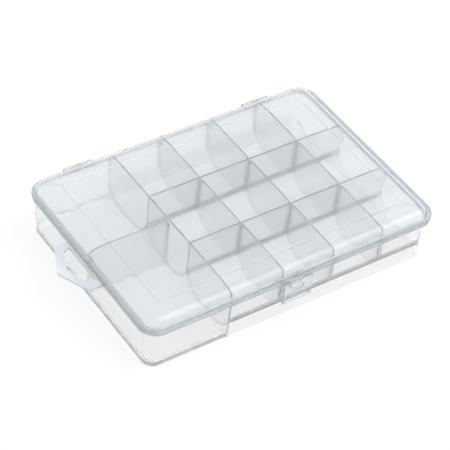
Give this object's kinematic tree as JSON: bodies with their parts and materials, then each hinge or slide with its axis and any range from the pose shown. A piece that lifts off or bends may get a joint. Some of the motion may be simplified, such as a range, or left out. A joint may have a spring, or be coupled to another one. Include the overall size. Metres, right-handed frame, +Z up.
{
  "type": "hinged bead organizer box",
  "caption": "Flat translucent plastic box with a hinged latching lid, scooped small compartments, large compartments, slip-in dividers and a hanging tab.",
  "frame": {"origin": "on the plane the box stands on, under the middle of the overall bounding box, which takes in the hanging tab, the latch and the hinges", "axes": "+X along the long side, away from the hanging tab; +Y from the latch at the front to the hinges at the back; +Z up out of the compartments"},
  "size_m": [0.293, 0.1922, 0.0506],
  "materials": {
    "clear_polypropylene": "satin, translucent",
    "divider_polypropylene": "satin, translucent"
  },
  "bodies": {
    "box": {"base_tray": "clear_polypropylene", "base_rim": "clear_polypropylene", "hang_tab": "clear_polypropylene", "main_divider": "clear_polypropylene", "row_divider_front": "clear_polypropylene", "row_divider_back": "clear_polypropylene", "scoop_floor_front": "clear_polypropylene", "scoop_floor_middle": "clear_polypropylene", "scoop_floor_back": "clear_polypropylene", "divider_channels": "clear_polypropylene", "catch_boss": "clear_polypropylene", "hinge_bracket_left": "clear_polypropylene", "hinge_bracket_right": "clear_polypropylene", "hinge_pin_left": "clear_polypropylene", "hinge_pin_right": "clear_polypropylene", "cross_divider": "divider_polypropylene", "column_divider_1_front": "divider_polypropylene", "column_divider_1_middle": "divider_polypropylene", "column_divider_1_back": "divider_polypropylene", "column_divider_2_front": "divider_polypropylene", "column_divider_2_middle": "divider_polypropylene", "column_divider_2_back": "divider_polypropylene", "column_divider_3_front": "divider_polypropylene", "column_divider_3_middle": "divider_polypropylene", "column_divider_3_back": "divider_polypropylene"},
    "lid": {"lid_dome": "clear_polypropylene", "lid_rim": "clear_polypropylene", "lid_knuckles_left": "clear_polypropylene", "lid_knuckles_right": "clear_polypropylene"},
    "latch": {"latch_tab": "clear_polypropylene"}
  },
  "joints": [
    {"name": "lid_hinge", "type": "hinge", "parent": "box", "child": "lid", "pos_m": [0.0115, 0.0939, 0.0412], "axis": [-1, 0, 0], "range_deg": [0, 180]},
    {"name": "latch_hinge", "type": "hinge", "parent": "lid", "child": "latch", "pos_m": [0.01, -0.09425, 0.0412], "axis": [-1, 0, 0], "range_deg": [0, 120]}
  ]
}
